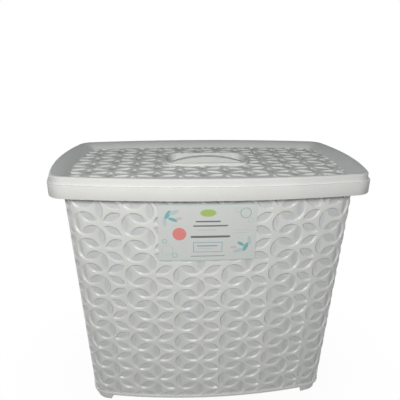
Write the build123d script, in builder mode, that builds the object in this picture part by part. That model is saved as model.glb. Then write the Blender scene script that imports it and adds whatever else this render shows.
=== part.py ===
from build123d import *
import os
from math import atan2, degrees

# A six litre box for washing powder: a tapered tub with bulging walls and a lift-off lid
# that has a sunken panel with a pinch grip, both moulded in white plastic.
# The origin is the middle of the footprint at the bottom of the feet, Z is up and the
# printed label faces -Y. All sizes are millimetres.

# The closed box, from the floor to the lid's crest
overall_height = 231.1

# Tub: lengths along X, depths along Y, both measured at the bulges
tub_top_length = 252.0
tub_top_depth = 150.0
tub_base_length = 239.0
tub_base_depth = 130.0
tub_corner = 17.5
side_bulge = 10.0
end_bulge = 6.0
tub_wall = 2.0
floor_thickness = 2.2
bead_height = 2.5
bead_proud = 0.6

# Flange at the mouth of the tub, which the lid rests on and its skirt hides
flange_thickness = 2.0
flange_lip = 5.0
flange_lip_wall = 1.6
skirt_clearance = 0.5

# Lid, seen from above: it stands out beyond the tub's mouth by the same amount all round
lid_overhang = 9.0
lid_corner = 17.0
lid_wall = 1.8

# Lid, seen from the side
skirt_height = 10.6
tier_height = 6.1
tier_inset = 2.0
crest_width = 2.6
crest_edge = 1.1
border_width = 12.4
panel_drop = 5.2
panel_corner = 5.0

# Pinch grip in the middle of the panel
grip_length = 75.0
grip_depth = 42.0
grip_corner = 8.0
grip_end_bulge = 3.0
grip_side_bulge = 0.5
grip_offset = 7.0
grip_pocket = 16.0
grip_draft = 3.0
collar_width = 2.6
collar_height = 2.0
arch_width = 8.0
arch_rise = 3.5
arch_drop = 6.8
arch_edge = 0.6

# Four corner feet
foot_height = 7.0
foot_inset = 2.0
foot_wall = 4.0
foot_along_side = 26.0
foot_along_end = 26.0
foot_end_slope = 4.0

# Relief on the walls and in the lid's panel: columns of shallow petals, pointed at both ends.
# Every other column is raised by half the rise from one petal to the next. The slanting petals
# between these upright ones are left out.
petal_width = 6.2
petal_height = 14.0
petal_depth = 0.8
petal_margin = 1.0
petal_cutter_mouth = 0.2
petal_first_level = 16.8
petal_rise = 23.2
petal_spacing_side = 20.34
petal_spacing_end = 17.7
panel_petal_rise = 23.44
panel_petal_spacing = 19.13
panel_petal_middle_x = 3.66
panel_petal_middle_y = 1.4

# Label stuck on the front wall
label_length = 79.5
label_height = 50.0
label_thickness = 0.25
label_glue = 0.2
label_middle_x = -4.2
label_below_skirt = 5.0

# Sizes and levels worked out from the sizes above
lid_length = tub_top_length + 2 * lid_overhang
lid_depth = tub_top_depth + 2 * lid_overhang
tub_side_bow = side_bulge / (tub_top_length / 2 - tub_corner - end_bulge)
tub_end_bow = end_bulge / (tub_top_depth / 2 - tub_corner - side_bulge)
lid_side_bow = side_bulge / (lid_length / 2 - lid_corner - end_bulge)
lid_end_bow = end_bulge / (lid_depth / 2 - lid_corner - side_bulge)
base_level = foot_height
crest_level = overall_height
panel_level = crest_level - panel_drop
ledge_level = crest_level - tier_height
skirt_level = ledge_level - skirt_height
rim_level = ledge_level - lid_wall
flange_level = rim_level - flange_thickness
petal_highest_level = flange_level - flange_lip - petal_margin - petal_height / 2
side_half_run = tub_base_length / 2 - tub_corner - end_bulge
end_half_run = tub_base_depth / 2 - tub_corner - side_bulge


def bulging_outline(length, depth, corner, side, end):
    """A rounded rectangle whose four sides bulge outwards."""
    reach_x = length / 2 - corner
    reach_y = depth / 2 - corner
    left_front = (-reach_x + end, -reach_y + side)
    right_front = (reach_x - end, -reach_y + side)
    right_back = (reach_x - end, reach_y - side)
    left_back = (-reach_x + end, reach_y - side)
    with BuildSketch() as outline:
        with BuildLine():
            ThreePointArc(left_front, (0, -reach_y), right_front)
            ThreePointArc(right_front, (reach_x, 0), right_back)
            ThreePointArc(right_back, (0, reach_y), left_back)
            ThreePointArc(left_back, (-reach_x, 0), left_front)
        make_face()
        offset(amount=corner)
    return outline.sketch


def bowed_outline(length, depth, corner, inset, side_bow, end_bow):
    """A bulging outline moved inwards, each side of which bulges by a given share of its half length."""
    reach_x = length / 2 - corner
    reach_y = depth / 2 - corner
    corner_y = (reach_y - side_bow * reach_x) / (1 - side_bow * end_bow)
    corner_x = reach_x - end_bow * corner_y
    return bulging_outline(
        length - 2 * inset,
        depth - 2 * inset,
        corner - inset,
        side_bow * corner_x,
        end_bow * corner_y,
    )


def lid_outline(inset):
    """The lid's outline moved inwards."""
    return bowed_outline(lid_length, lid_depth, lid_corner, inset, lid_side_bow, lid_end_bow)


def panel_outline():
    """The sunken panel's outline."""
    border = tier_inset + crest_width + border_width
    return bowed_outline(
        lid_length - 2 * border,
        lid_depth - 2 * border,
        panel_corner,
        0,
        lid_side_bow,
        lid_end_bow,
    )


def grip_outline(outwards):
    """The grip pocket's outline moved outwards, centred on the origin."""
    return bulging_outline(
        grip_length + 2 * outwards,
        grip_depth + 2 * outwards,
        grip_corner + outwards,
        grip_side_bulge,
        grip_end_bulge,
    )


def tub_outline(level, inset):
    """The tub's outline at a level, moved inwards: its walls lean out towards the mouth."""
    share = (level - base_level) / (rim_level - base_level)
    length = tub_base_length + (tub_top_length - tub_base_length) * share
    depth = tub_base_depth + (tub_top_depth - tub_base_depth) * share
    return bowed_outline(length, depth, tub_corner, inset, tub_side_bow, tub_end_bow)


def tub_core(bottom, top, inset):
    """A tapered block between two levels that follows the tub's walls."""
    with BuildPart() as core:
        with BuildSketch(Plane.XY.offset(bottom)):
            add(tub_outline(bottom, inset))
        with BuildSketch(Plane.XY.offset(top)):
            add(tub_outline(top, inset))
        loft(ruled=True)
    return core.part


def corner_cutter(plane, width, reach):
    """A long block with sloping ends that clears the middle of one pair of walls' feet."""
    with BuildPart() as cutter:
        with BuildSketch(plane):
            Trapezoid(
                width + 2 * foot_end_slope,
                foot_height,
                degrees(atan2(foot_height, foot_end_slope)),
                align=(Align.CENTER, Align.MIN),
            )
        extrude(amount=reach, both=True)
    return cutter.part


def arch_outline(drop, shorten):
    """The pinch grip's arch seen from the front, lowered and shortened."""
    end_x = grip_length / 2 - shorten
    top_z = panel_level + arch_rise - drop
    foot_z = panel_level - grip_pocket
    with BuildSketch() as outline:
        with BuildLine():
            ThreePointArc((-end_x, top_z - arch_drop), (0, top_z), (end_x, top_z - arch_drop))
            Polyline((end_x, top_z - arch_drop), (end_x, foot_z), (-end_x, foot_z), (-end_x, top_z - arch_drop))
        make_face()
    return outline.sketch


def petal_outline(size):
    """A petal's outline, enlarged by a factor."""
    half_width = petal_width / 2 * size
    half_height = petal_height / 2 * size
    with BuildSketch() as outline:
        with BuildLine():
            Polyline((-half_width, 0), (0, -half_height), (half_width, 0), (0, half_height), close=True)
        make_face()
    return outline.sketch


def petal_cutter():
    """A flat pyramid that points down into a face, on which it is as large as a petal."""
    with BuildPart() as cutter:
        with BuildSketch(Plane.XY.offset(petal_cutter_mouth)) as mouth:
            add(petal_outline(1 + petal_cutter_mouth / petal_depth))
        loft(sections=[mouth.sketch.faces()[0], Vertex(0, 0, -petal_depth)])
    return cutter.part


def petal_spots(columns, rows, spacing, rise):
    """Where the petals of a flat pattern go: across from its middle and up from its foot."""
    spots = []
    for column in range(columns):
        across = (column - (columns - 1) / 2) * spacing
        raised = column % 2
        for row in range(rows - raised):
            spots.append((across, (row + raised / 2) * rise))
    return spots


def wall_places(facing, along, half_run, spacing):
    """Planes for the petals on the wall that faces a direction, with their Z axes outwards."""
    columns = 2 * int((half_run - petal_width / 2) / spacing + 1 / 2)
    rows = int((petal_highest_level - petal_first_level) / petal_rise) + 1
    places = []
    for across, up in petal_spots(columns, rows, spacing, petal_rise):
        line = Axis(along * across + Vector(0, 0, petal_first_level + up), facing)
        point, outward = max(tub_body.find_intersection_points(line), key=lambda hit: hit[0].dot(facing))
        places.append(Plane(origin=point, x_dir=along, z_dir=outward))
    return places


def panel_places():
    """Places for the petals that fit on the lid's panel, clear of its edge and of the grip's collar."""
    columns = 2 * int(lid_length / 2 / panel_petal_spacing)
    rows = 1 + 2 * int(lid_depth / 2 / panel_petal_rise)
    first_y = panel_petal_middle_y - (rows - 1) / 2 * panel_petal_rise
    panel = panel_outline().face()
    collar = (Pos(0, grip_offset) * grip_outline(collar_width + petal_margin)).face()
    places = []
    for across, up in petal_spots(columns, rows, panel_petal_spacing, panel_petal_rise):
        middle = Vector(panel_petal_middle_x + across, first_y + up)
        tips = [middle + Vector(corner) for corner in petal_outline(1).vertices()]
        on_panel = all(panel.is_inside(tip) for tip in tips)
        off_collar = not any(collar.is_inside(spot) for spot in tips + [middle])
        if on_panel and off_collar:
            places.append(Location((middle.X, middle.Y, panel_level)))
    return places


side_gap = corner_cutter(Plane.XZ, tub_base_length - 2 * foot_along_side, tub_base_depth)
end_gap = corner_cutter(Plane.YZ, tub_base_depth - 2 * foot_along_end, tub_base_length)
tub_body = tub_core(base_level, rim_level, 0)
tub_inside = tub_core(base_level + floor_thickness, rim_level, tub_wall)
label_skin = tub_core(base_level, rim_level, -label_glue - label_thickness)
label_backing = tub_core(base_level, rim_level, -label_glue)

# The petal that is cut again and again, and its places on the four walls
petal = petal_cutter()
wall_petals = []
for turn in (1, -1):
    to_side = Vector(0, -turn, 0)
    to_end = Vector(turn, 0, 0)
    wall_petals += wall_places(to_side, to_end, side_half_run, petal_spacing_side)
    wall_petals += wall_places(to_end, -to_side, end_half_run, petal_spacing_end)

# Feet: one ring under the base, cut down to its four corners
with BuildPart() as feet:
    with BuildSketch(Plane.XY):
        add(tub_outline(base_level, foot_inset))
        add(tub_outline(base_level, foot_inset + foot_wall), mode=Mode.SUBTRACT)
    extrude(amount=foot_height)
    add(side_gap, mode=Mode.SUBTRACT)
    add(end_gap, mode=Mode.SUBTRACT)

# Tub: tapered walls, flange with its lip, floor, feet, the walls' relief and the bead round the base
with BuildPart() as tub:
    add(tub_body)
    with BuildSketch(Plane.XY.offset(flange_level - flange_lip)):
        add(lid_outline(lid_wall + skirt_clearance))
    extrude(amount=flange_lip + flange_thickness)
    with BuildSketch(Plane.XY.offset(flange_level - flange_lip)):
        add(lid_outline(lid_wall + skirt_clearance + flange_lip_wall))
        add(tub_outline(flange_level, 0), mode=Mode.SUBTRACT)
    extrude(amount=flange_lip, mode=Mode.SUBTRACT)
    add(tub_inside, mode=Mode.SUBTRACT)
    add(feet.part)
    with Locations(*wall_petals):
        add(petal, mode=Mode.SUBTRACT)
    with BuildSketch(Plane.XY.offset(base_level)):
        add(tub_outline(base_level, -bead_proud))
        add(tub_outline(base_level, tub_wall / 2), mode=Mode.SUBTRACT)
    extrude(amount=bead_height)
tub.part.label = "tub"

# The hollow under the lid's crest, which runs round outside the sloping border
with BuildPart() as crest_hollow:
    with BuildSketch(Plane.XY.offset(rim_level)):
        add(lid_outline(tier_inset + lid_wall))
    extrude(amount=crest_level - lid_wall - rim_level)
    with BuildSketch(Plane.XY.offset(panel_level - lid_wall)):
        add(panel_outline())
    with BuildSketch(Plane.XY.offset(crest_level)):
        add(lid_outline(tier_inset + crest_width - lid_wall))
    loft(ruled=True, mode=Mode.SUBTRACT)

# The grip pocket's outer body with its collar, and the space inside it
with BuildPart() as grip_body:
    with BuildSketch(Plane.XY.offset(panel_level + collar_height)):
        with Locations((0, grip_offset)):
            add(grip_outline(collar_width))
    extrude(amount=-collar_height - grip_pocket, taper=grip_draft)
with BuildPart() as grip_space:
    with BuildSketch(Plane.XY.offset(panel_level + collar_height)):
        with Locations((0, grip_offset)):
            add(grip_outline(0))
    extrude(amount=-collar_height - grip_pocket + lid_wall, taper=grip_draft)

# The arched web across the pocket that fingers pinch, and the slot under it
with BuildPart() as grip_arch:
    with BuildSketch(Plane.XZ.offset(-grip_offset)):
        add(arch_outline(0, 0))
    extrude(amount=arch_width / 2, both=True)
    chamfer(grip_arch.faces().sort_by(Axis.Z)[-1].edges().filter_by(GeomType.CIRCLE), length=arch_edge)
with BuildPart() as arch_slot:
    with BuildSketch(Plane.XZ.offset(-grip_offset)):
        add(arch_outline(lid_wall, grip_corner))
    extrude(amount=arch_width / 2 - lid_wall, both=True)

# Lid: skirt, upper tier and edged crest outside, sunken panel with petals and grip inside the crest
with BuildPart() as lid:
    with BuildSketch(Plane.XY.offset(skirt_level)):
        add(lid_outline(0))
    extrude(amount=skirt_height)
    with BuildSketch(Plane.XY.offset(ledge_level)):
        add(lid_outline(tier_inset))
    extrude(amount=tier_height)
    chamfer(lid.faces().sort_by(Axis.Z)[-1].outer_wire().edges(), length=crest_edge)
    with BuildSketch(Plane.XY.offset(panel_level)):
        add(panel_outline())
    with BuildSketch(Plane.XY.offset(crest_level)):
        add(lid_outline(tier_inset + crest_width))
    loft(ruled=True, mode=Mode.SUBTRACT)
    with BuildSketch(Plane.XY.offset(skirt_level)):
        add(lid_outline(lid_wall))
    extrude(amount=rim_level - skirt_level, mode=Mode.SUBTRACT)
    add(crest_hollow.part, mode=Mode.SUBTRACT)
    with Locations(*panel_places()):
        add(petal, mode=Mode.SUBTRACT)
    add(grip_body.part)
    add(grip_space.part, mode=Mode.SUBTRACT)
    add(grip_arch.part)
    add(arch_slot.part, mode=Mode.SUBTRACT)
lid.part.label = "lid"

# Label: a thin sheet that lies on the front wall just under the lid's skirt
with BuildPart() as label:
    add(label_skin)
    add(label_backing, mode=Mode.SUBTRACT)
    with BuildSketch(Plane.XZ):
        with Locations((label_middle_x, skirt_level - label_below_skirt)):
            Rectangle(label_length, label_height, align=(Align.CENTER, Align.MAX))
    extrude(amount=tub_top_depth, mode=Mode.INTERSECT)
label.part.label = "label"

os.makedirs("parts", exist_ok=True)
export_step(tub.part, "parts/tub.step")
export_step(lid.part, "parts/lid.step")
export_step(label.part, "parts/label.step")
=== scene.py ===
import math

import bmesh
import bpy
from mathutils import Matrix, Vector
from mathutils.geometry import delaunay_2d_cdt


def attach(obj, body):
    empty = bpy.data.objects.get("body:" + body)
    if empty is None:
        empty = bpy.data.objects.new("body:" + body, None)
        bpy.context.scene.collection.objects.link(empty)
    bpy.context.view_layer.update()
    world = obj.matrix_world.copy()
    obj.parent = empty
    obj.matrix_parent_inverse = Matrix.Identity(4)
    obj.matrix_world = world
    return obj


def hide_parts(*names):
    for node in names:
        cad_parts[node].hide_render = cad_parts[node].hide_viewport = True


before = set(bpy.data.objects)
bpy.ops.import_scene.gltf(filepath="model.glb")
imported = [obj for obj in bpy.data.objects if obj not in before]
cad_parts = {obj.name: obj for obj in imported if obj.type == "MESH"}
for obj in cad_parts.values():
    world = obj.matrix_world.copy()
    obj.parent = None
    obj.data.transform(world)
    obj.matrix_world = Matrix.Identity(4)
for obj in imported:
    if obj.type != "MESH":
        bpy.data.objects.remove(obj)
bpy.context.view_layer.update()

# Shapes are worked out in millimetres, as in the part's source, and scaled when they are finished
mm = 0.001
touching = 0.02  # points this close are taken as one

# Levels of the closed box above the floor; those of the grip are added beside it
level = {
    "base": 7.0,
    "skirt": 214.4,
    "flange": 221.2,
    "rim": 223.2,
    "ledge": 225.0,
    "panel": 225.9,
    "crest": 231.1,
}


# Outlines: rounded rectangles whose sides bulge. A place on one is a number, counted from the
# middle of the front: 1 and 2 are the ends of the corner, 3 the middle of the end, 6 the back.
def bowedOutline(length, depth, corner, inset, sideBow, endBow):
    reachX = length / 2 - corner
    reachY = depth / 2 - corner
    cornerY = (reachY - sideBow * reachX) / (1 - sideBow * endBow)
    cornerX = reachX - endBow * cornerY
    sideBulge = sideBow * cornerX
    endBulge = endBow * cornerY
    sideRadius = (cornerX ** 2 + sideBulge ** 2) / (2 * sideBulge)
    endRadius = (cornerY ** 2 + endBulge ** 2) / (2 * endBulge)
    return {
        "corner": (cornerX, cornerY),
        "round": corner - inset,
        "sideRadius": sideRadius,
        "endRadius": endRadius,
        "sideMiddle": reachY - sideRadius,
        "endMiddle": reachX - endRadius,
        "sideAngle": math.asin(cornerX / sideRadius),
        "endAngle": math.asin(cornerY / endRadius),
    }


def cornerAngle(outline):
    return math.pi / 2 - outline["sideAngle"] - outline["endAngle"]


def quarterLengths(outline):
    side = (outline["sideRadius"] + outline["round"]) * outline["sideAngle"]
    corner = outline["round"] * cornerAngle(outline)
    end = (outline["endRadius"] + outline["round"]) * outline["endAngle"]
    return side, corner, end


def pointOn(outline, place):
    share = abs(place)
    back = share > 3
    if back:
        share = 6 - share
    if share <= 1:
        angle = outline["sideAngle"] * share
        reach = outline["sideRadius"] + outline["round"]
        x = reach * math.sin(angle)
        y = outline["sideMiddle"] + reach * math.cos(angle)
    elif share <= 2:
        angle = outline["sideAngle"] + cornerAngle(outline) * (share - 1)
        x = outline["corner"][0] + outline["round"] * math.sin(angle)
        y = outline["corner"][1] + outline["round"] * math.cos(angle)
    else:
        angle = outline["endAngle"] * (3 - share)
        reach = outline["endRadius"] + outline["round"]
        x = outline["endMiddle"] + reach * math.cos(angle)
        y = reach * math.sin(angle)
    return math.copysign(x, place), y if back else -y


def placeOf(outline, x, y):
    across, deep = abs(x), abs(y)
    sideTurn = math.atan2(across, deep - outline["sideMiddle"])
    endTurn = math.atan2(deep, across - outline["endMiddle"])
    if sideTurn <= outline["sideAngle"]:
        share = sideTurn / outline["sideAngle"]
    elif endTurn <= outline["endAngle"]:
        share = 3 - endTurn / outline["endAngle"]
    else:
        turn = math.atan2(across - outline["corner"][0], deep - outline["corner"][1])
        share = 1 + (turn - outline["sideAngle"]) / cornerAngle(outline)
    if y > 0:
        share = 6 - share
    return math.copysign(share, x)


def isInside(outline, x, y):
    across, deep = abs(x), abs(y)
    sideReach = outline["sideRadius"] + outline["round"]
    endReach = outline["endRadius"] + outline["round"]
    if math.hypot(across, deep - outline["sideMiddle"]) > sideReach:
        return False
    if math.hypot(across - outline["endMiddle"], deep) > endReach:
        return False
    turn = math.atan2(across - outline["corner"][0], deep - outline["corner"][1])
    if outline["sideAngle"] < turn < math.pi / 2 - outline["endAngle"]:
        far = math.hypot(across - outline["corner"][0], deep - outline["corner"][1])
        return far <= outline["round"]
    return True


# Moulded relief: overlapping circles whose floors tilt, in pairs of columns
relief = {
    "radius": 10.0,
    "period": 40.68,
    "rise": 23.2,
    "pairShift": 3.0,
    "columnStep": 20.85,
    "softEdge": 1.35,
    "tilt": 1.05,
    "petal": 1.35,
    "segments": 40,
    "cutGap": 0.00001,
}


def reliefDiscs(pattern, firstRow, lowX, highX, lowY, highY):
    discs = []
    reach = pattern["radius"] + pattern["softEdge"]
    shift = pattern["pairShift"]
    step = pattern["columnStep"]
    period = pattern["period"]
    rise = pattern["rise"]
    half = rise / 2
    # Distance from the column's middle, height above the first row, side to which the floor sinks
    cell = [(-shift, 0, 0), (shift, -half, 0), (step - shift, -half, -1), (step + shift, 0, 1)]
    # One column and one row more than needed at each end; the test below leaves out what is too far
    columns = range(math.floor((lowX - reach) / period) - 1, math.ceil((highX + reach) / period) + 2)
    lowRow = math.floor((lowY - reach - firstRow) / rise) - 1
    highRow = math.ceil((highY + reach - firstRow) / rise) + 1
    for column in columns:
        for row in range(lowRow, highRow + 1):
            for across, up, lean in cell:
                x = column * period + across
                y = firstRow + row * rise + up
                if lowX - reach < x < highX + reach and lowY - reach < y < highY + reach:
                    discs.append((x, y, lean))
    return discs


def reliefHeight(pattern, discs, x, y):
    radius = pattern["radius"]
    soft = pattern["softEdge"]
    shares = []
    drop = 0
    for discX, discY, lean in discs:
        share = (radius + soft / 2 - math.hypot(x - discX, y - discY)) / soft
        if share > 0:
            share = min(share, 1)
            slope = abs(lean) * (1 + lean * (x - discX) / radius) / 2
            drop = max(drop, share * pattern["tilt"] * min(max(slope, 0), 1))
            shares.append(share)
    for index, share in enumerate(shares):
        drop = max(drop, pattern["petal"] * share * sum(shares[index + 1:]))
    return -drop


def reliefSheet(pattern, discs, loops, keep):
    # Circles cut into a flat sheet, whose points then sink by the relief
    lines = bmesh.new()
    soft = pattern["softEdge"] / 2
    for discX, discY, lean in discs:
        for radius in (pattern["radius"] - soft, pattern["radius"] + soft):
            bmesh.ops.create_circle(
                lines,
                segments=pattern["segments"],
                radius=radius,
                matrix=Matrix.Translation((discX, discY, 0)),
            )
    lines.verts.index_update()
    points = [v.co.xy for v in lines.verts]
    edges = [(e.verts[0].index, e.verts[1].index) for e in lines.edges]
    lines.free()
    for loop, closed in loops:
        first = len(points)
        points += [Vector(p) for p in loop]
        count = len(loop)
        edges += [(first + i, first + i + 1) for i in range(count - 1)]
        if closed:
            edges.append((first + count - 1, first))
    cut = delaunay_2d_cdt(points, edges, [], 0, pattern["cutGap"])
    spots, faces = cut[0], cut[2]
    sheet = bmesh.new()
    verts = {}
    for face in faces:
        corners = [spots[i] for i in face]
        x = sum(c.x for c in corners) / len(corners)
        y = sum(c.y for c in corners) / len(corners)
        if not keep(x, y):
            continue
        for i in face:
            if i not in verts:
                atX, atY = spots[i]
                verts[i] = sheet.verts.new((atX, atY, reliefHeight(pattern, discs, atX, atY)))
        sheet.faces.new([verts[i] for i in face])
    return sheet


def vertsOf(geometry):
    return [g for g in geometry if isinstance(g, bmesh.types.BMVert)]


def openEdges(mesh):
    return [e for e in mesh.edges if len(e.link_faces) == 1]


def growRing(mesh, edges, z, outline, back=0, blend=None):
    # A new ring of points beyond an open edge. Each keeps its place on the outline, and the outline
    # can lie a share of the way to another one.
    along = mesh.verts.layers.float["along"]
    sunk = mesh.verts.layers.float["sunk"]
    grown = bmesh.ops.extrude_edge_only(mesh, edges=edges)["geom"]
    fresh = set(vertsOf(grown))
    for v in fresh:
        x, y = pointOn(outline, v[along])
        if blend:
            other, share = blend
            otherX, otherY = pointOn(other, v[along])
            x += (otherX - x) * share
            y += (otherY - y) * share
        v.co = (x, y + back, z)
        v[sunk] = 0
    grownEdges = [g for g in grown if isinstance(g, bmesh.types.BMEdge)]
    return [e for e in grownEdges if e.verts[0] in fresh and e.verts[1] in fresh]


def makePiece(name, mesh, body, finish, sharpAngle=28):
    mesh.normal_update()
    for face in mesh.faces:
        face.smooth = True
    data = bpy.data.meshes.new(name)
    mesh.to_mesh(data)
    mesh.free()
    data.transform(Matrix.Scale(mm, 4))
    data.set_sharp_from_angle(angle=math.radians(sharpAngle))
    data.materials.append(finish)
    piece = bpy.data.objects.new(name, data)
    bpy.context.scene.collection.objects.link(piece)
    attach(piece, body)
    print(name, "made,", sum(len(p.vertices) - 2 for p in data.polygons), "triangles")
    return piece


# Shader maths: a socket that can be added, multiplied and so on
class Signal:
    def __init__(self, finish, socket):
        self.finish = finish
        self.socket = socket

    def maths(self, operation, *values):
        return self.finish.node("ShaderNodeMath", {"operation": operation}, values)

    def __add__(self, other):
        return self.maths("ADD", self, other)

    __radd__ = __add__

    def __sub__(self, other):
        return self.maths("SUBTRACT", self, other)

    def __rsub__(self, other):
        return self.maths("SUBTRACT", other, self)

    def __mul__(self, other):
        return self.maths("MULTIPLY", self, other)

    __rmul__ = __mul__

    def __truediv__(self, other):
        return self.maths("DIVIDE", self, other)

    def __rtruediv__(self, other):
        return self.maths("DIVIDE", other, self)

    def size(self):
        return self.maths("ABSOLUTE", self)

    def clamped(self):
        return self.finish.node("ShaderNodeClamp", {}, {"Value": self})


class Finish:
    def __init__(self, name, kind="materials"):
        self.block = getattr(bpy.data, kind).new(name)
        self.block.use_nodes = True
        self.tree = self.block.node_tree
        self.tree.nodes.clear()

    def node(self, kind, settings, values, output=0):
        made = self.tree.nodes.new(kind)
        for key, value in settings.items():
            setattr(made, key, value)
        sockets = values.items() if isinstance(values, dict) else enumerate(values)
        for key, value in sockets:
            if isinstance(value, Signal):
                self.tree.links.new(value.socket, made.inputs[key])
            else:
                made.inputs[key].default_value = value
        return Signal(self, made.outputs[output])

    def mixed(self, share, first, second):
        settings = {"data_type": "RGBA", "blend_type": "MIX"}
        # 6, 7 and the output 2 are the colour sockets
        return self.node("ShaderNodeMix", settings, {0: share, 6: first, 7: second}, 2)

    def noise(self, where, scale, **more):
        return self.node("ShaderNodeTexNoise", {}, {"Vector": where, "Scale": scale, **more})

    def vectorMaths(self, operation, *values, output="Value"):
        return self.node("ShaderNodeVectorMath", {"operation": operation}, values, output)

    def bump(self, height, depth):
        return self.node("ShaderNodeBump", {}, {"Strength": 1.0, "Distance": depth, "Height": height})

    def seenDirectly(self):
        # One for what the eye, a reflection or a clear material sees, nought for light
        seen = self.node("ShaderNodeLightPath", {}, {}, "Is Camera Ray")
        for ray in ("Is Glossy Ray", "Is Transmission Ray"):
            seen = seen + self.node("ShaderNodeLightPath", {}, {}, ray)
        return seen.clamped()

    def surface(self, shader, end="ShaderNodeOutputMaterial"):
        self.tree.links.new(shader.socket, self.tree.nodes.new(end).inputs["Surface"])
        return self.block


# White polypropylene, moulded: faint mottling, a fine skin and light scuffs, and painted shade darkening
# the relief's recesses
plasticLook = {
    "colour": (0.80, 0.80, 0.785, 1),
    "dullColour": (0.75, 0.755, 0.745, 1),
    # Painted shade: the relief's recesses are darkened towards this bluish grey by their depth
    "recessShadeColour": (0.53, 0.56, 0.58, 1),
    "recessShadeShare": 0.6,
    "recessShadeGain": 1.4,
    "recessShadeStart": 0.4,
    "specular": 0.5,
    "ior": 1.49,
    "roughness": 0.34,
    "roughnessSpread": 0.12,
    "mottleScale": 38,
    "mottleContrast": 2.2,
    "mottleLevel": 0.35,
    "scuffScale": 210.0,
    "scuffRoughness": 0.65,
    "skinScale": 900,
    "skinDepth": 0.00002,
}
lidLook = {
    **plasticLook,
    "specular": 0.12,
    "roughness": 0.55,
    # Painted shade for the lid's recesses, a darker and greener grey
    "recessShadeColour": (0.47, 0.50, 0.48, 1),
}


def plasticFinish(name, look):
    finish = Finish(name)
    where = finish.node("ShaderNodeTexCoord", {}, {}, "Object")
    mottle = finish.noise(where, look["mottleScale"], Detail=3.0)
    scuffs = finish.noise(where, look["scuffScale"], Detail=4.0, Roughness=look["scuffRoughness"])
    skin = finish.noise(where, look["skinScale"], Detail=2.0)
    dull = ((mottle - 0.5) * look["mottleContrast"] + look["mottleLevel"]).clamped()
    # Painted shade: the deeper a point of the relief lies, the more its colour is darkened towards the
    # recess shade colour
    sunk = finish.node("ShaderNodeAttribute", {"attribute_name": "sunk"}, {}, "Fac")
    deep = (sunk * look["recessShadeGain"] - look["recessShadeStart"]).clamped()
    colour = finish.mixed(dull, look["colour"], look["dullColour"])
    colour = finish.mixed(deep * look["recessShadeShare"], colour, look["recessShadeColour"])
    roughness = (look["roughness"] + (scuffs - 0.5) * look["roughnessSpread"] * 2).clamped()
    shader = finish.node(
        "ShaderNodeBsdfPrincipled",
        {},
        {
            "Base Color": colour,
            "Roughness": roughness,
            "Normal": finish.bump(skin, look["skinDepth"]),
            "IOR": look["ior"],
            "Specular IOR Level": look["specular"],
        },
    )
    return finish.surface(shader)


tubFinish = plasticFinish("whiteTubPlastic", plasticLook)
lidFinish = plasticFinish("whiteLidPlastic", lidLook)
print("finishes made")


# Tub: a tapered wall covered in relief, then the bead, feet, flange and inside grown from its edges
tub = {
    "topLength": 252.0,
    "topDepth": 150.0,
    "baseLength": 239.0,
    "baseDepth": 130.0,
    "corner": 17.5,
    "wall": 2.0,
    "floor": 2.2,
    "sideBow": 10.0 / 102.5,
    "endBow": 6.0 / 47.5,
    "reliefLow": 10.0,
    "reliefHigh": 213.6,
    "firstRow": 132.8,
    "reliefShift": 0.48,
    "evenHalf": 80.0,  # the relief isn't stretched up to here from the middle
    "frontPeriods": 2.86,  # from the middle of the front to the middle of the corner
    "endPeriods": 1.64,
    "cornerUprights": 18,
    "wallFoot": 9.5,
    # Height, how far it stands out
    "bead": ((9.75, 0), (9.5, 0.05), (9.42, 0.42), (9.2, 0.6), (7.35, 0.6), (7.08, 0.45), (7.0, 0.15)),
    "footInset": 2.0,
    "footWall": 4.0,
    "footGapX": 93.5,
    "footGapY": 39.0,
    "footSlope": 4.0,
    "plainStart": 0.25,
    "lipRound": 0.3,
    "mouthRound": 0.4,
    "insideFoot": ((1.2, 1.2, 0), (0.3, 0, 0.4), (0, 0, 1.4)),  # height, outline's height, inset
}


def tubOutline(z, inset):
    share = (z - level["base"]) / (level["rim"] - level["base"])
    length = tub["baseLength"] + (tub["topLength"] - tub["baseLength"]) * share
    depth = tub["baseDepth"] + (tub["topDepth"] - tub["baseDepth"]) * share
    return bowedOutline(length, depth, tub["corner"], inset, tub["sideBow"], tub["endBow"])


def wallPlace(along, z):
    # Where a point of the flat relief comes to lie on the tapered wall at that height
    period = relief["period"]
    front = tub["frontPeriods"] * period
    end = tub["endPeriods"] * period
    loop = 4 * (front + end)
    along = (along + tub["reliefShift"] + loop / 2) % loop - loop / 2
    share = abs(along)
    back = share > front + end
    if back:
        share = 2 * (front + end) - share
    outline = tubOutline(z, 0)
    side, corner, endLength = quarterLengths(outline)
    half = side + corner / 2
    even = tub["evenHalf"]
    if share <= even:
        run = share
    elif share <= front:
        run = even + (share - even) * (half - even) / (front - even)
    else:
        run = half + (share - front) * (corner / 2 + endLength) / end
    if run <= side:
        place = run / side
    elif run <= side + corner:
        place = 1 + (run - side) / corner
    else:
        place = min(2 + (run - side - corner) / endLength, 3)
    if back:
        place = 6 - place
    return math.copysign(place, along)


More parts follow.
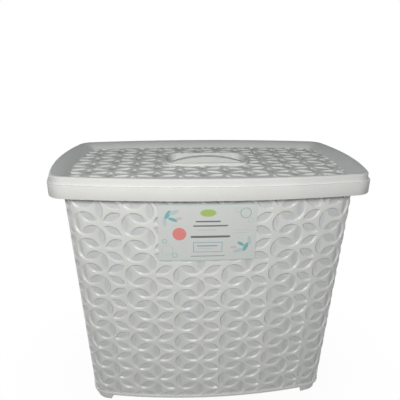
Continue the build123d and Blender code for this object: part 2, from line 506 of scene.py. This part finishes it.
def makeTubWall():
    period = relief["period"]
    rise = relief["rise"]
    low = tub["reliefLow"]
    box = (-period / 2, period / 2, low, low + rise)
    discs = reliefDiscs(relief, tub["firstRow"], *box)
    frameLoop = ([(box[0], box[2]), (box[1], box[2]), (box[1], box[3]), (box[0], box[3])], True)
    uprights = []
    for i in range(tub["cornerUprights"]):
        x = box[0] + period * (i + 0.5) / tub["cornerUprights"]
        uprights.append(([(x, box[2]), (x, box[3])], False))

    def inCell(x, y):
        return box[0] < x < box[1] and box[2] < y < box[3]

    plain = reliefSheet(relief, discs, [frameLoop], inCell)
    fine = reliefSheet(relief, discs, [frameLoop] + uprights, inCell)
    # One row of cells round the tub, fine ones at the corners
    wall = bmesh.new()
    cells = {}
    for kind, sheet in (("plain", plain), ("fine", fine)):
        cells[kind] = bpy.data.meshes.new(kind + "Cell")
        sheet.to_mesh(cells[kind])
        sheet.free()
    front, end = tub["frontPeriods"], tub["endPeriods"]
    halfLoop = round(2 * (front + end))
    cornerColumns = (round(front), round(front + 2 * end))
    for column in range(-halfLoop, halfLoop):
        before = len(wall.verts)
        wall.from_mesh(cells["fine" if abs(column) in cornerColumns else "plain"])
        bmesh.ops.translate(wall, verts=wall.verts[:][before:], vec=(column * period, 0, 0))
    for cell in cells.values():
        bpy.data.meshes.remove(cell)
    row = wall.verts[:] + wall.edges[:] + wall.faces[:]
    for storey in range(1, math.ceil((tub["reliefHigh"] - low) / rise)):
        copy = bmesh.ops.duplicate(wall, geom=row)
        bmesh.ops.translate(wall, verts=vertsOf(copy["geom"]), vec=(0, storey * rise, 0))
    bmesh.ops.bisect_plane(
        wall,
        geom=wall.verts[:] + wall.edges[:] + wall.faces[:],
        plane_co=(0, tub["reliefHigh"], 0),
        plane_no=(0, 1, 0),
        clear_outer=True,
    )
    return wall


def growFeet(mesh, ringFaces):
    # The ring under the base is cut at the feet's ends and drawn down to the floor at the corners
    gapX, gapY = tub["footGapX"], tub["footGapY"]
    cuts = [((x, 0, 0), (1, 0, 0)) for x in (-gapX, gapX)]
    cuts += [((0, y, 0), (0, 1, 0)) for y in (-gapY, gapY)]
    geometry = set(ringFaces)
    for co, no in cuts:
        edges = {e for f in geometry for e in f.edges}
        verts = {v for f in geometry for v in f.verts}
        parts = [*geometry, *edges, *verts]
        out = bmesh.ops.bisect_plane(mesh, geom=parts, plane_co=co, plane_no=no)
        geometry = {g for g in out["geom"] if isinstance(g, bmesh.types.BMFace)}
    feet = []
    for face in geometry:
        middle = face.calc_center_median()
        if abs(middle.x) > gapX and abs(middle.y) > gapY:
            feet.append(face)
    drawn = bmesh.ops.extrude_face_region(mesh, geom=feet)
    for v in vertsOf(drawn["geom"]):
        x, y = v.co.xy
        if abs(abs(x) - gapX) < touching:
            x += math.copysign(tub["footSlope"], x)
        if abs(abs(y) - gapY) < touching:
            y += math.copysign(tub["footSlope"], y)
        v.co = (x, y, 0)
    bmesh.ops.delete(mesh, geom=[f for f in feet if f.is_valid], context="FACES")


def growBase(mesh, edges):
    # Bead, underside and feet
    base = level["base"]
    for z, out in tub["bead"]:
        edges = growRing(mesh, edges, z, tubOutline(base if z < tub["wallFoot"] else z, -out))
    edges = growRing(mesh, edges, base, tubOutline(base, tub["footInset"]))
    standing = {v for e in edges for v in e.verts}
    edges = growRing(mesh, edges, base, tubOutline(base, tub["footInset"] + tub["footWall"]))
    standing |= {v for e in edges for v in e.verts}
    bmesh.ops.contextual_create(mesh, geom=edges)
    footRing = [f for f in mesh.faces if len(f.verts) == 4 and all(v in standing for v in f.verts)]
    growFeet(mesh, footRing)


def growFlange(mesh, edges):
    # Flange with its turned-down lip, the inside and its floor
    lipInset = lid["wall"] + lid["clearance"]
    flangeOut = lidOutline(lipInset)
    flangeIn = lidOutline(lipInset + lid["lipWall"])
    flange = level["flange"]
    lipLow = flange - lid["lip"]
    rim = level["rim"]
    mouth = rim - tub["mouthRound"]
    floor = level["base"] + tub["floor"]
    for z, outline in (
        (tub["reliefHigh"] + tub["plainStart"], tubOutline(tub["reliefHigh"], 0)),
        (flange, tubOutline(flange, 0)),
        (flange, flangeIn),
        (lipLow, flangeIn),
        (lipLow, flangeOut),
        (rim - tub["lipRound"], flangeOut),
        (rim, lidOutline(lipInset + tub["lipRound"])),
        (rim, tubOutline(rim, tub["wall"] - tub["mouthRound"])),
        (mouth, tubOutline(mouth, tub["wall"])),
    ):
        edges = growRing(mesh, edges, z, outline)
    for up, outlineUp, inset in tub["insideFoot"]:
        outline = tubOutline(floor + outlineUp, tub["wall"] + inset)
        edges = growRing(mesh, edges, floor + up, outline)
    bmesh.ops.contextual_create(mesh, geom=edges)


def makeTub():
    mesh = makeTubWall()
    along = mesh.verts.layers.float.new("along")
    sunk = mesh.verts.layers.float.new("sunk")
    for v in mesh.verts:
        flat, z, height = v.co
        # How deep each point lies, as a share of the petal's depth; the finish darkens by it as painted
        # shade
        v[sunk] = -height / relief["petal"]
        v[along] = wallPlace(flat, z)
        x, y = pointOn(tubOutline(z, -height), v[along])
        v.co = (x, y, z)
    bmesh.ops.remove_doubles(mesh, verts=mesh.verts[:], dist=touching)
    middle = (tub["reliefLow"] + tub["reliefHigh"]) / 2
    edges = openEdges(mesh)
    low = [e for e in edges if e.verts[0].co.z < middle]
    high = [e for e in edges if e.verts[0].co.z > middle]
    print("wall", len(mesh.faces), "faces,", len(low), "and", len(high), "open edges")
    growBase(mesh, low)
    growFlange(mesh, high)
    bmesh.ops.recalc_face_normals(mesh, faces=mesh.faces[:])
    return makePiece("reliefTub", mesh, "box", tubFinish)


# Lid: the relief panel first, then its border, crest and skirt outwards, and the pocket inwards
lid = {
    "length": 269.9,
    "depth": 168.0,
    "corner": 17.0,
    "sideBow": 10.0 / 112.0,
    "endBow": 6.0 / 57.0,
    "wall": 1.8,
    "tierInset": 2.0,
    "crestWidth": 2.6,
    "crestRound": 1.8,
    "crestSteps": 6,
    "crestInner": ((0.5, 0.2), (0, 0.02)),  # inwards, down
    "borderWidth": 12.4,
    "borderSwell": 0.18,
    "borderShares": (0, 0.03, 0.08, 0.2, 0.35, 0.5, 0.65, 0.8, 0.92),
    "borderLead": 0.01,
    "tierFoot": (0.35, 0.1),  # a rounding and the place of its middle point
    "ledgeEdge": (0.5, 0.15),
    "skirtEdge": (0.4, 0.12),
    "skirtInner": 0.3,
    "panelCorner": 5.0,
    "panelSteps": (24, 7, 12),  # to a half side, a corner and a half end
    "clearance": 0.5,
    "lipWall": 1.6,
    "lip": 5.0,
}
lidRelief = {
    **relief,
    "radius": 9.4,
    "period": 38.27,
    "rise": 23.44,
    "pairShift": 2.82,
    "columnStep": 19.62,
    "softEdge": 1.2,
    "tilt": 0.6,
    "petal": 1.4,
    "firstRow": -45.46,
    "shift": 3.42,
}
grip = {
    "length": 75.0,
    "depth": 42.0,
    "corner": 8.0,
    "endBulge": 3.0,
    "sideBulge": 0.5,
    "offset": 7.0,
    "pocket": 16.0,
    "draft": math.tan(math.radians(3)),
    "collarWidth": 2.6,
    "collarHeight": 2.0,
    "collarSteps": (10, 8, 5),
    "collarSeat": 0.03,
    "collarOuter": ((0.06, 0.6), (0.25, 0.18), (0.65, 0)),  # inwards, down
    "collarInner": ((0.6, 0), (0.18, 0.16), (0, 0.55)),  # outwards, down
    "pocketFoot": ((-0.1, 1.6), (0.35, 0.45), (1.5, 0)),  # inwards, up
    "bodyRound": 0.5,
    "bodySteps": (8, 6, 4),
    "margin": 8.0,
    "archWidth": 8.0,
    "archRise": 3.5,
    "archDrop": 6.8,
    "archRound": 0.8,
    "archSunk": 0.6,
    "archSegments": 28,
    "slotSegments": 14,
}
level["panelUnder"] = level["panel"] - lid["wall"]
level["collar"] = level["panel"] + grip["collarHeight"]
level["pocketUnder"] = level["panel"] - grip["pocket"]
level["pocketFloor"] = level["pocketUnder"] + lid["wall"]


def lidOutline(inset):
    return bowedOutline(lid["length"], lid["depth"], lid["corner"], inset, lid["sideBow"], lid["endBow"])


def panelOutline():
    border = lid["tierInset"] + lid["crestWidth"] + lid["borderWidth"]
    return bowedOutline(
        lid["length"] - 2 * border,
        lid["depth"] - 2 * border,
        lid["panelCorner"],
        0,
        lid["sideBow"],
        lid["endBow"],
    )


def gripOutline(outwards):
    sideBow = grip["sideBulge"] / (grip["length"] / 2 - grip["corner"] - grip["endBulge"])
    endBow = grip["endBulge"] / (grip["depth"] / 2 - grip["corner"] - grip["sideBulge"])
    return bowedOutline(grip["length"], grip["depth"], grip["corner"], -outwards, sideBow, endBow)


def outlineLoop(outline, steps):
    # Points once round from the back, so many along each half side, corner and half end
    places = []
    for start, runs in ((-6, steps), (-3, steps[::-1]), (0, steps), (3, steps[::-1])):
        for index, run in enumerate(runs):
            places += [start + index + i / run for i in range(run)]
    return [pointOn(outline, place) for place in places]


def lidProfile(crestInset, crestMiddle):
    # From the crest down the outside and up the inside of the skirt: inset, height
    profile = [(crestInset + inwards, level["crest"] - down) for inwards, down in lid["crestInner"]]
    for step in range(lid["crestSteps"] + 1):
        angle = math.radians(90 - 90 * step / lid["crestSteps"])
        inset = lid["tierInset"] + lid["crestRound"] * (1 - math.cos(angle))
        profile.append((inset, crestMiddle + lid["crestRound"] * math.sin(angle)))
    tier = lid["tierInset"]
    wall = lid["wall"]
    ledge = level["ledge"]
    skirt = level["skirt"]
    foot, footMiddle = lid["tierFoot"]
    edge, edgeMiddle = lid["ledgeEdge"]
    hem, hemMiddle = lid["skirtEdge"]
    inner = lid["skirtInner"]
    return profile + [
        (tier, ledge + foot), (tier - footMiddle, ledge + footMiddle), (tier - foot, ledge),
        (edge, ledge), (edgeMiddle, ledge - edgeMiddle), (0, ledge - edge),
        (0, skirt + hem), (hemMiddle, skirt + hemMiddle), (hem, skirt),
        (wall - inner, skirt), (wall, skirt + inner),
        (wall, level["rim"]), (tier + wall, level["rim"]), (tier + wall, crestMiddle),
    ]


def makePanel(panel, collar):
    # The relief sheet round the collar, with its outer and inner open edges
    offset = grip["offset"]
    panelLoop = outlineLoop(panel, lid["panelSteps"])
    collarLoop = [(x, y + offset) for x, y in outlineLoop(collar, grip["collarSteps"])]
    shift = lidRelief["shift"]
    xs = [p[0] - shift for p in panelLoop]
    ys = [p[1] for p in panelLoop]
    discs = reliefDiscs(lidRelief, lidRelief["firstRow"], min(xs), max(xs), min(ys), max(ys))
    discs = [(x + shift, y, lean) for x, y, lean in discs]

    def onPanel(x, y):
        return isInside(panel, x, y) and not isInside(collar, x, y - offset)

    mesh = reliefSheet(lidRelief, discs, [(panelLoop, True), (collarLoop, True)], onPanel)
    along = mesh.verts.layers.float.new("along")
    sunk = mesh.verts.layers.float.new("sunk")
    for v in mesh.verts:
        # How deep each point lies, as a share of the petal's depth; the finish darkens by it as painted
        # shade
        v[sunk] = -v.co.z / lidRelief["petal"]
        v.co.z += level["panel"]
    nearX = grip["length"] / 2 + grip["margin"]
    nearY = grip["depth"] / 2 + grip["margin"]
    outer, inner = [], []
    for e in openEdges(mesh):
        x, y = (e.verts[0].co.xy + e.verts[1].co.xy) / 2
        near = abs(x) < nearX and abs(y - offset) < nearY
        (inner if near else outer).append(e)
    for e in outer:
        for v in e.verts:
            v[along] = placeOf(panel, v.co.x, v.co.y)
            v.co.z = level["panel"]
            v[sunk] = 0
    for e in inner:
        for v in e.verts:
            v[along] = placeOf(collar, v.co.x, v.co.y - offset)
    print("panel", len(mesh.faces), "faces,", len(outer), "and", len(inner), "open edges")
    return mesh, outer, inner


def growBorder(mesh, edges, panel):
    # Border, crest, ledge and skirt, then the underside back to below the panel's edge
    crestInset = lid["tierInset"] + lid["crestWidth"]
    crestMiddle = level["crest"] - lid["crestRound"]
    slopeTop = lidOutline(crestInset)
    for share in lid["borderShares"]:
        rise = share + lid["borderSwell"] * 4 * share * (1 - share)
        z = level["panel"] + rise * (level["crest"] - level["panel"])
        edges = growRing(mesh, edges, z, panel, blend=(slopeTop, share + lid["borderLead"]))
    for inset, z in lidProfile(crestInset, crestMiddle):
        edges = growRing(mesh, edges, z, lidOutline(inset))
    under = level["panelUnder"]
    slopeShare = (crestMiddle - under) / (level["crest"] - under)
    hollowTop = lidOutline(crestInset - lid["wall"])
    edges = growRing(mesh, edges, crestMiddle, panel, blend=(hollowTop, slopeShare))
    return growRing(mesh, edges, under, panel)


def growPocket(mesh, edges):
    # Collar and the pocket inside it
    top = level["collar"]
    floor = level["pocketFloor"]
    deep = grip["draft"] * (top - floor)
    width = grip["collarWidth"]
    profile = [(width - grip["collarSeat"], level["panel"])]
    profile += [(width - inwards, top - down) for inwards, down in grip["collarOuter"]]
    profile += [(out, top - down) for out, down in grip["collarInner"]]
    profile += [(-deep - inwards, floor + up) for inwards, up in grip["pocketFoot"]]
    for out, z in profile:
        edges = growRing(mesh, edges, z, gripOutline(out), grip["offset"])
    bmesh.ops.contextual_create(mesh, geom=edges)


def closeUnderside(mesh, edges, collar):
    # The panel's underside round the pocket's body, and the slot that hollows the arch
    offset = grip["offset"]
    bottom = level["pocketUnder"]
    bodyOut = grip["collarWidth"] - grip["draft"] * (level["collar"] - level["panelUnder"])
    lowOut = grip["collarWidth"] - grip["draft"] * (level["collar"] - bottom)
    bodyTop = outlineLoop(gripOutline(bodyOut), grip["bodySteps"])
    verts = [mesh.verts.new((x, y + offset, level["panelUnder"])) for x, y in bodyTop]
    body = [mesh.edges.new((verts[i - 1], verts[i])) for i in range(len(verts))]
    bmesh.ops.triangle_fill(mesh, use_beauty=True, use_dissolve=False, edges=edges + body)
    along = mesh.verts.layers.float["along"]
    for v in verts:
        v[along] = placeOf(collar, v.co.x, v.co.y - offset)
    body = growRing(mesh, body, bottom + grip["bodyRound"], gripOutline(lowOut), offset)
    growRing(mesh, body, bottom, gripOutline(lowOut - grip["bodyRound"]), offset)
    slotX = grip["length"] / 2 - grip["corner"]
    slotY = grip["archWidth"] / 2 - lid["wall"]
    place = Matrix.Translation((0, offset, bottom)) @ Matrix.Diagonal((slotX, slotY, 1, 1))
    slot = bmesh.ops.create_grid(
        mesh, x_segments=grip["slotSegments"], y_segments=1, size=1, matrix=place
    )
    slotFaces = list({f for v in slot["verts"] for f in v.link_faces})
    roof = bmesh.ops.extrude_face_region(mesh, geom=slotFaces)
    for v in vertsOf(roof["geom"]):
        v.co.z = archHeight(v.co.x) - lid["wall"]
    bmesh.ops.delete(mesh, geom=[f for f in slotFaces if f.is_valid], context="FACES_ONLY")
    rim = [e for e in openEdges(mesh) if all(abs(v.co.z - bottom) < touching for v in e.verts)]
    bmesh.ops.triangle_fill(mesh, use_beauty=True, use_dissolve=False, edges=rim)


def archHeight(x):
    # Top of the pinch grip's arch: a circle through its middle and its two ends
    half = grip["length"] / 2
    drop = grip["archDrop"]
    radius = (half ** 2 + drop ** 2) / (2 * drop)
    top = level["panel"] + grip["archRise"]
    return top - radius + math.sqrt(radius ** 2 - x ** 2)


def makeArch(mesh):
    # The web stands in the pocket's floor and in both its ends, and its long edges are rounded
    sunkBy = grip["archSunk"]
    halfLength = grip["length"] / 2 + sunkBy
    halfWidth = grip["archWidth"] / 2
    place = Matrix.Translation((0, grip["offset"], 0)) @ Matrix.Diagonal((halfLength, halfWidth, 1, 1))
    made = bmesh.ops.create_grid(
        mesh, x_segments=grip["archSegments"], y_segments=1, size=1, matrix=place
    )
    faces = list({f for v in made["verts"] for f in v.link_faces})
    for v in made["verts"]:
        v.co.z = level["pocketFloor"] - sunkBy
    raised = bmesh.ops.extrude_face_region(mesh, geom=faces, use_keep_orig=True)
    top = set(vertsOf(raised["geom"]))
    for v in top:
        v.co.z = archHeight(v.co.x)
    topEdges = {e for v in top for e in v.link_edges if e.other_vert(v) in top}
    longEdges = [e for e in topEdges if abs(e.verts[0].co.y - e.verts[1].co.y) < touching]
    bmesh.ops.bevel(
        mesh, geom=longEdges, offset=grip["archRound"], offset_type="OFFSET", segments=3,
        profile=0.5, affect="EDGES", material=-1,
    )


def makeLid():
    panel = panelOutline()
    collar = gripOutline(grip["collarWidth"])
    mesh, outer, inner = makePanel(panel, collar)
    outer = growBorder(mesh, outer, panel)
    growPocket(mesh, inner)
    closeUnderside(mesh, outer, collar)
    makeArch(mesh)
    bmesh.ops.recalc_face_normals(mesh, faces=mesh.faces[:])
    return makePiece("reliefLid", mesh, "lid_body", lidFinish)


# Label: a thin printed sheet on the front wall
label = {
    "left": -43.95,
    "right": 35.55,
    "low": 159.4,
    "high": 209.4,
    "glue": 0.2,
    "thickness": 0.25,
    "columns": 40,
    "rows": 25,
    "paper": (0.70, 0.71, 0.70, 1),
    "teal": (0.16, 0.45, 0.47, 1),
    "mist": (0.50, 0.62, 0.64, 1),
    "coral": (0.80, 0.22, 0.20, 1),
    "ink": (0.10, 0.12, 0.13, 1),
    "leaf": (0.38, 0.55, 0.10, 1),
    "blush": (0.70, 0.52, 0.54, 1),
    "paperShade": (0.70, 0.74, 0.745, 1),
    "inkShare": 0.9,
    "softness": 0.18,
    "edgeBar": 1.2,
    "mottleScale": 0.35,
    "mottleLevel": 0.35,
    "mottleContrast": 1.2,
    "roughness": 0.28,
    "roughnessSpread": 0.1,
    "specular": 0.4,
    "rippleScale": 90.0,
    "rippleDepth": 0.00025,
    # The print, in millimetres from the label's lower left corner
    "leaves": (  # middle, length, width, turn, tint
        (8, 41, 9, 3.6, 60, "teal"),
        (13, 43, 9, 3.6, 20, "mist"),
        (5.5, 35, 8, 3.2, 95, "mist"),
        (12, 37, 8, 3.0, -20, "teal"),
        (17, 38, 6, 2.4, 5, "blush"),
        (71, 12, 9, 3.6, 65, "teal"),
        (65, 9, 9, 3.6, 15, "mist"),
        (74, 18, 8, 3.2, 100, "mist"),
        (67, 15, 7, 2.8, -30, "teal"),
        (61, 12, 6, 2.4, 0, "blush"),
    ),
    "rings": (  # middle, radius, line, tint
        (70, 42, 4.2, 0.7, "teal"),
        (63.5, 44.5, 2.0, 0.6, "mist"),
        (74.5, 35.5, 2.2, 0.6, "mist"),
        (7, 10, 4.4, 0.7, "mist"),
        (13, 5.5, 2.0, 0.6, "teal"),
        (5, 18, 1.8, 0.6, "teal"),
    ),
    "badge": (17, 24.5, 5.6, "coral"),  # middle, radius, tint
    "bigLeaf": (40, 42.5, 13, 6.4, 0, "leaf"),
    "bars": (  # left, low, right, top, tint
        (30, 34.6, 50, 36.0, "ink"),
        (28, 30.8, 56, 32.2, "ink"),
        (31, 27.4, 47, 28.4, "mist"),
        (26, 21.0, 58, 23.0, "ink"),
        (28, 8.0, 52, 8.7, "teal"),
        (28, 16.6, 52, 17.3, "teal"),
        (28, 8.0, 28.7, 17.3, "teal"),
        (51.3, 8.0, 52, 17.3, "teal"),
        (31, 13.4, 48, 14.2, "ink"),
        (31, 11.0, 44, 11.8, "mist"),
        (26, 4.2, 54, 4.9, "ink"),
        (60, 27.0, 75, 27.6, "mist"),
        (60, 24.6, 72, 25.2, "mist"),
    ),
}


def labelFinish():
    finish = Finish("printedLabel")
    wide = label["right"] - label["left"]
    high = label["high"] - label["low"]
    uv = finish.node("ShaderNodeUVMap", {"uv_map": "print"}, {})
    where = finish.vectorMaths("MULTIPLY", uv, (wide, high, 0), output="Vector")
    x = finish.node("ShaderNodeSeparateXYZ", {}, [where], "X")
    y = finish.node("ShaderNodeSeparateXYZ", {}, [where], "Y")
    soft = label["softness"]

    def disc(middleX, middleY, radius):
        far = finish.vectorMaths("DISTANCE", where, (middleX, middleY, 0))
        return ((radius - far) / soft).clamped()

    def circle(middleX, middleY, radius, line):
        far = finish.vectorMaths("DISTANCE", where, (middleX, middleY, 0))
        off = (far - radius).size()
        return ((line / 2 - off) / soft).clamped()

    def leafShape(middleX, middleY, length, width, turn):
        settings = {"vector_type": "TEXTURE"}
        turned = finish.node(
            "ShaderNodeMapping", settings,
            [where, (middleX, middleY, 0), (0, 0, math.radians(turn)), (length / 2, width / 2, 1)],
        )
        far = finish.vectorMaths("LENGTH", turned)
        return ((1 - far) * (width / 2 / soft)).clamped()

    def bar(left, low, right, top):
        offX = (x - (left + right) / 2).size()
        offY = (y - (low + top) / 2).size()
        inX = (((right - left) / 2 - offX) / soft).clamped()
        inY = (((top - low) / 2 - offY) / soft).clamped()
        return inX * inY

    mottle = finish.noise(where, label["mottleScale"], Detail=2.0)
    shade = ((mottle - label["mottleLevel"]) * label["mottleContrast"]).clamped()
    colour = finish.mixed(shade, label["paper"], label["paperShade"])
    edgeBar = label["edgeBar"]
    marks = [(bar(0, 0, wide, edgeBar), "mist"), (bar(0, high - edgeBar, wide, high), "mist")]
    for shape, prints in (
        (leafShape, label["leaves"]),
        (circle, label["rings"]),
        (disc, [label["badge"]]),
        (leafShape, [label["bigLeaf"]]),
        (bar, label["bars"]),
    ):
        marks += [(shape(*values), tint) for *values, tint in prints]
    for mask, tint in marks:
        colour = finish.mixed(mask * label["inkShare"], colour, label[tint])
    solidPlace = finish.node("ShaderNodeTexCoord", {}, {}, "Object")
    ripple = finish.noise(solidPlace, label["rippleScale"], Detail=1.0)
    shader = finish.node(
        "ShaderNodeBsdfPrincipled",
        {},
        {
            "Base Color": colour,
            "Roughness": label["roughness"] + ripple * label["roughnessSpread"],
            "Normal": finish.bump(ripple, label["rippleDepth"]),
            "Specular IOR Level": label["specular"],
        },
    )
    return finish.surface(shader)


def makeLabel():
    mesh = bmesh.new()
    bmesh.ops.create_grid(mesh, x_segments=label["columns"], y_segments=label["rows"], size=0.5)
    uv = mesh.loops.layers.uv.new("print")
    for face in mesh.faces:
        for loop in face.loops:
            loop[uv].uv = (loop.vert.co.x + 0.5, loop.vert.co.y + 0.5)
    for v in mesh.verts:
        x = label["left"] + (v.co.x + 0.5) * (label["right"] - label["left"])
        z = label["low"] + (v.co.y + 0.5) * (label["high"] - label["low"])
        outline = tubOutline(z, -label["glue"])
        reach = outline["sideRadius"] + outline["round"]
        v.co = (x, -(outline["sideMiddle"] + math.sqrt(reach ** 2 - x ** 2)), z)
    raised = bmesh.ops.extrude_face_region(mesh, geom=mesh.faces[:], use_keep_orig=True)
    for v in vertsOf(raised["geom"]):
        v.co.y -= label["thickness"]
    bmesh.ops.recalc_face_normals(mesh, faces=mesh.faces[:])
    return makePiece("printedLabel", mesh, "box", labelFinish())


tubPiece = makeTub()
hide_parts("tub")
lidPiece = makeLid()
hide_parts("lid")
labelPiece = makeLabel()
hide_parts("label")


# Studio: pale floor, white backdrop, soft lamps in front of, above and behind the box
studio = {
    "radius": 12.0,
    "segments": 96,
    "floorGap": 0.0002,
    "floor": (0.80, 0.80, 0.80, 1),
    "floorSeen": 0.92,
    "floorFade": 0.35,
    "floorBounce": (0.22, 0.22, 0.22, 1),
    "backdrop": (1.0, 1.0, 1.0, 1),
    "upperRoom": (0.30, 0.30, 0.30, 1),
    "whiteUpTo": 0.18,
    "fadeOver": 0.22,
    "ambient": (0.042, 0.054, 0.064, 1),
}
backLamp = {
    "aim": (0.0, 0.0, 0.12),
    "size": (0.5, 0.12),
    "power": 10.0,
    "glossy": False,
    "colour": (0.97, 0.985, 1.0),
}
lamps = {
    "keyLamp": {
        "at": (-0.08, -0.50, 0.41),
        "aim": (0.0, -0.05, 0.15),
        "size": (0.36, 0.10),
        "power": 2.13,
        "glossy": True,
        "colour": (1.0, 0.99, 0.955),
    },
    "topLamp": {
        "at": (0.0, -0.1, 1.2),
        "aim": (0.0, 0.0, 0.2),
        "size": (0.6, 0.4),
        "power": 0.8,
        "glossy": False,
        "colour": (0.99, 1.0, 1.0),
    },
    "leftBackLamp": {**backLamp, "at": (-1.15, 1.0, 0.20)},
    "rightBackLamp": {**backLamp, "at": (1.15, 1.0, 0.20)},
}
view = {
    "eye": (-0.0292, -0.3955, 0.3152),
    "azimuth": -4.22,
    "elevation": 23.83,
    "roll": 0.531,
    "sensor": 36.0,
    "lens": 39.05,
    "shift": (-0.0152, 0.1170),
    "clipStart": 0.01,
}


def makeFloor():
    # White to the eye and in reflections, dim as light, with the shadow kept near the middle
    mesh = bmesh.new()
    below = Matrix.Translation((0, 0, -studio["floorGap"]))
    bmesh.ops.create_circle(
        mesh, cap_ends=True, segments=studio["segments"], radius=studio["radius"], matrix=below
    )
    data = bpy.data.meshes.new("studioFloor")
    mesh.to_mesh(data)
    mesh.free()
    finish = Finish("paleFloor")
    where = finish.node("ShaderNodeTexCoord", {}, {}, "Object")
    far = finish.vectorMaths("LENGTH", where)
    share = (studio["floorSeen"] + far * studio["floorFade"]).clamped()
    lit = finish.node("ShaderNodeBsdfDiffuse", {}, {"Color": studio["floor"]})
    glow = finish.node("ShaderNodeEmission", {}, {"Color": (1, 1, 1, 1), "Strength": 1.0})
    white = finish.node("ShaderNodeMixShader", {}, {0: share, 1: lit, 2: glow})
    bounce = finish.node("ShaderNodeBsdfDiffuse", {}, {"Color": studio["floorBounce"]})
    shader = finish.node("ShaderNodeMixShader", {}, {0: finish.seenDirectly(), 1: bounce, 2: white})
    data.materials.append(finish.surface(shader))
    floor = bpy.data.objects.new("studioFloor", data)
    bpy.context.scene.collection.objects.link(floor)


def makeWorld():
    # A white backdrop to the eye and in reflections, greyer high up, and a dim even light
    finish = Finish("studioWorld", "worlds")
    way = finish.node("ShaderNodeTexCoord", {}, {}, "Generated")
    height = finish.node("ShaderNodeSeparateXYZ", {}, {0: way}, "Z")
    share = ((height - studio["whiteUpTo"]) / studio["fadeOver"]).clamped()
    backdrop = finish.mixed(share, studio["backdrop"], studio["upperRoom"])
    colour = finish.mixed(finish.seenDirectly(), studio["ambient"], backdrop)
    shader = finish.node("ShaderNodeBackground", {}, {"Color": colour, "Strength": 1.0})
    bpy.context.scene.world = finish.surface(shader, "ShaderNodeOutputWorld")


def makeLamps():
    for name, values in lamps.items():
        data = bpy.data.lights.new(name, "AREA")
        data.shape = "RECTANGLE"
        data.size, data.size_y = values["size"]
        data.energy = values["power"]
        data.color = values["colour"]
        lamp = bpy.data.objects.new(name, data)
        lamp.location = values["at"]
        lamp.visible_glossy = values["glossy"]
        towards = Vector(values["aim"]) - Vector(values["at"])
        lamp.rotation_euler = towards.to_track_quat("-Z", "Y").to_euler()
        bpy.context.scene.collection.objects.link(lamp)


def makeCamera():
    data = bpy.data.cameras.new("photoCamera")
    data.sensor_fit = "HORIZONTAL"
    data.sensor_width = view["sensor"]
    data.lens = view["lens"]
    data.shift_x, data.shift_y = view["shift"]
    data.clip_start = view["clipStart"]
    camera = bpy.data.objects.new("photoCamera", data)
    azimuth = math.radians(view["azimuth"])
    elevation = math.radians(view["elevation"])
    turn = Matrix.Rotation(azimuth, 4, "Z") @ Matrix.Rotation(math.pi / 2 - elevation, 4, "X")
    turn = turn @ Matrix.Rotation(math.radians(view["roll"]), 4, "Z")
    camera.matrix_world = Matrix.Translation(view["eye"]) @ turn
    bpy.context.scene.collection.objects.link(camera)
    bpy.context.scene.camera = camera


makeFloor()
makeWorld()
makeLamps()
makeCamera()
bpy.context.scene.view_settings.view_transform = "Standard"
print("studio made")
